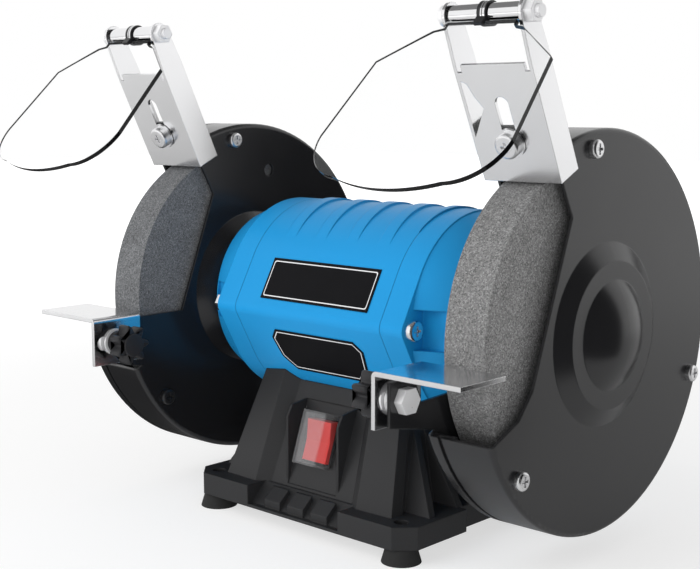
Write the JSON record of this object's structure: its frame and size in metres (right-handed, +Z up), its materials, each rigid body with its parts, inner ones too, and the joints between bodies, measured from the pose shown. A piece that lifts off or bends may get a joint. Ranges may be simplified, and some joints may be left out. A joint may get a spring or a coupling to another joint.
{
  "type": "bench grinder",
  "caption": "Bench grinder with two guarded abrasive wheels on a motor shaft, sliding tool rests, tilting clear eye shields and a front rocker switch.",
  "frame": {"origin": "on the bench plane, below the middle of the shaft, at the centre of the bench bolt holes", "axes": "+X along the shaft to the right end, -Y to the front with the switch, +Z up"},
  "size_m": [0.3112, 0.2162, 0.2403],
  "materials": {
    "base_black": "satin",
    "zinc_steel": "satin",
    "foot_rubber": "matte",
    "housing_blue": "semi-gloss",
    "bright_steel": "bright zinc plate",
    "lamination": "matte",
    "copper": "varnished",
    "bearing_steel": "polished",
    "plate_black": "gloss",
    "knob_black": "satin",
    "rocker_red": "gloss",
    "clear_hood": "clear",
    "capacitor_can": "satin",
    "guard_black": "satin",
    "abrasive_fine": "grainy",
    "abrasive_coarse": "grainy",
    "blotter_paper": "matte",
    "washer_black": "satin",
    "chrome_sleeve": "mirror",
    "clear_shield": "clear"
  },
  "bodies": {
    "frame": {"base": "base_black", "bottom_plate": "zinc_steel", "bottom_screws": "zinc_steel", "rubber_feet": "foot_rubber", "motor_housing": "housing_blue", "left_end_bell": "housing_blue", "right_end_bell": "housing_blue", "tie_bolts": "bright_steel", "tie_nuts": "bright_steel", "housing_screws": "zinc_steel", "stator_core": "lamination", "stator_windings": "copper", "bearing_outer_rings": "bearing_steel", "upper_name_plate": "plate_black", "lower_name_plate": "plate_black", "switch_body": "knob_black", "switch_cover": "clear_hood", "cable_gland": "foot_rubber", "capacitor": "capacitor_can", "capacitor_clip": "zinc_steel", "left_guard_inner": "guard_black", "right_guard_inner": "guard_black", "left_guard_cover": "guard_black", "right_guard_cover": "guard_black", "cover_screws": "bright_steel", "guard_screws": "zinc_steel", "rest_bolts": "bright_steel", "rest_spacers": "bright_steel", "rest_washers": "bright_steel", "bracket_screws": "bright_steel", "bracket_washers": "washer_black", "bracket_nuts": "bright_steel"},
    "rotor": {"rotor_shaft": "zinc_steel", "rotor_core": "lamination", "bearing_inner_rings": "bearing_steel", "bearing_balls": "bearing_steel", "left_wheel": "abrasive_fine", "right_wheel": "abrasive_coarse", "inner_flanges": "zinc_steel", "outer_flanges": "zinc_steel", "wheel_nuts": "zinc_steel", "wheel_blotters": "blotter_paper"},
    "rocker": {"switch_rocker": "rocker_red"},
    "left_rest": {"left_tool_rest": "bright_steel"},
    "left_clamp": {"left_knob": "knob_black"},
    "left_bracket": {"left_shield_bracket": "bright_steel", "left_hinge_bolt": "bright_steel", "left_hinge_nut": "bright_steel", "left_hinge_sleeves": "chrome_sleeve"},
    "left_shield": {"left_shield_clip": "knob_black", "left_eye_shield": "clear_shield"},
    "right_rest": {"right_tool_rest": "bright_steel"},
    "right_clamp": {"right_knob": "knob_black"},
    "right_bracket": {"right_shield_bracket": "bright_steel", "right_hinge_bolt": "bright_steel", "right_hinge_nut": "bright_steel", "right_hinge_sleeves": "chrome_sleeve"},
    "right_shield": {"right_shield_clip": "knob_black", "right_eye_shield": "clear_shield"}
  },
  "joints": [
    {"name": "rotor_spin", "type": "hinge", "parent": "frame", "child": "rotor", "pos_m": [0, 0, 0.1025], "axis": [1, 0, 0], "continuous": true},
    {"name": "switch_rock", "type": "hinge", "parent": "frame", "child": "rocker", "pos_m": [0, -0.04182, 0.0406], "axis": [1, 0, 0], "range_deg": [-14, 0]},
    {"name": "left_rest_slide", "type": "slide", "parent": "frame", "child": "left_rest", "axis": [0, 1, 0], "range_m": [-0.01, 0.005]},
    {"name": "left_knob_turn", "type": "hinge", "parent": "frame", "child": "left_clamp", "pos_m": [-0.08, -0.097, 0.0853], "axis": [1, 0, 0], "continuous": true},
    {"name": "left_bracket_slide", "type": "slide", "parent": "frame", "child": "left_bracket", "axis": [0, -0.4352, 0.9003], "range_m": [-0.001, 0.003]},
    {"name": "left_shield_tilt", "type": "hinge", "parent": "left_bracket", "child": "left_shield", "pos_m": [-0.11005, -0.06429, 0.23494], "axis": [-1, 0, 0], "range_deg": [-15, 75]},
    {"name": "right_rest_slide", "type": "slide", "parent": "frame", "child": "right_rest", "axis": [0, 1, 0], "range_m": [-0.01, 0.005]},
    {"name": "right_knob_turn", "type": "hinge", "parent": "frame", "child": "right_clamp", "pos_m": [0.08, -0.097, 0.0853], "axis": [1, 0, 0], "continuous": true},
    {"name": "right_bracket_slide", "type": "slide", "parent": "frame", "child": "right_bracket", "axis": [0, -0.4352, 0.9003], "range_m": [-0.001, 0.003]},
    {"name": "right_shield_tilt", "type": "hinge", "parent": "right_bracket", "child": "right_shield", "pos_m": [0.11005, -0.06429, 0.23494], "axis": [-1, 0, 0], "range_deg": [-15, 75]}
  ]
}
